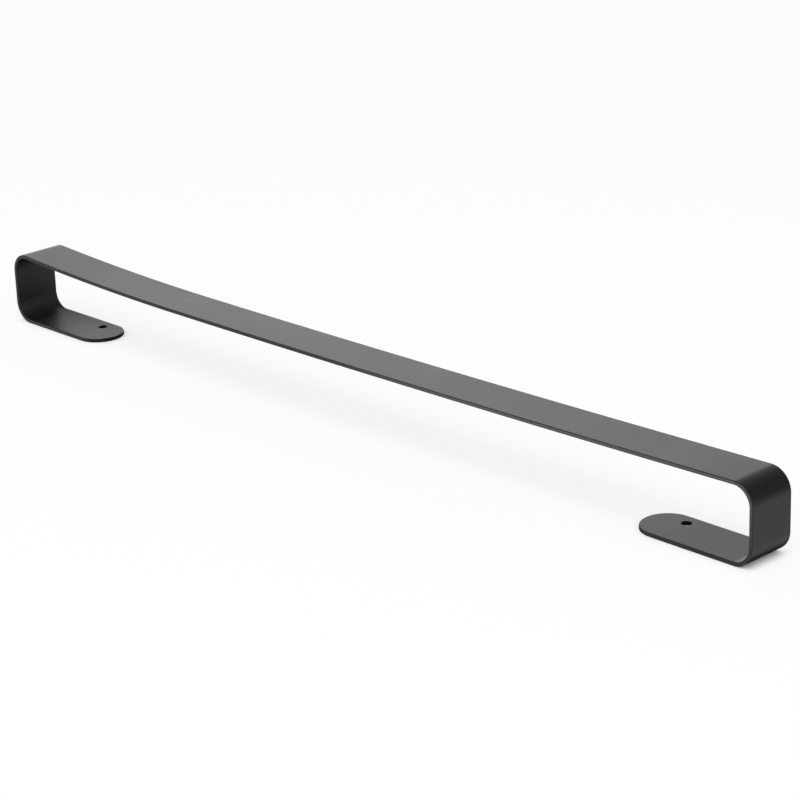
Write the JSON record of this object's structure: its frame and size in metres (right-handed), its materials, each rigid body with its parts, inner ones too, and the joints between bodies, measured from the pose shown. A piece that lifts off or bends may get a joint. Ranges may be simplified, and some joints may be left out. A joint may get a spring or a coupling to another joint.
{
  "type": "towel bar",
  "caption": "Flat steel strip folded into a wall-mounted towel bar, with short legs and round-ended feet turned inwards, each with a screw hole; matte black coat.",
  "frame": {"origin": "in the wall plane, under the middle of the bar, midway between the legs and across the strip", "axes": "+X along the bar, +Y across the strip towards the screw holes, +Z away from the wall"},
  "size_m": [0.6, 0.03, 0.045],
  "materials": {
    "black_coat": "matte black powder coat"
  },
  "bodies": {
    "root": {"towel_bar": "black_coat"}
  },
  "joints": []
}
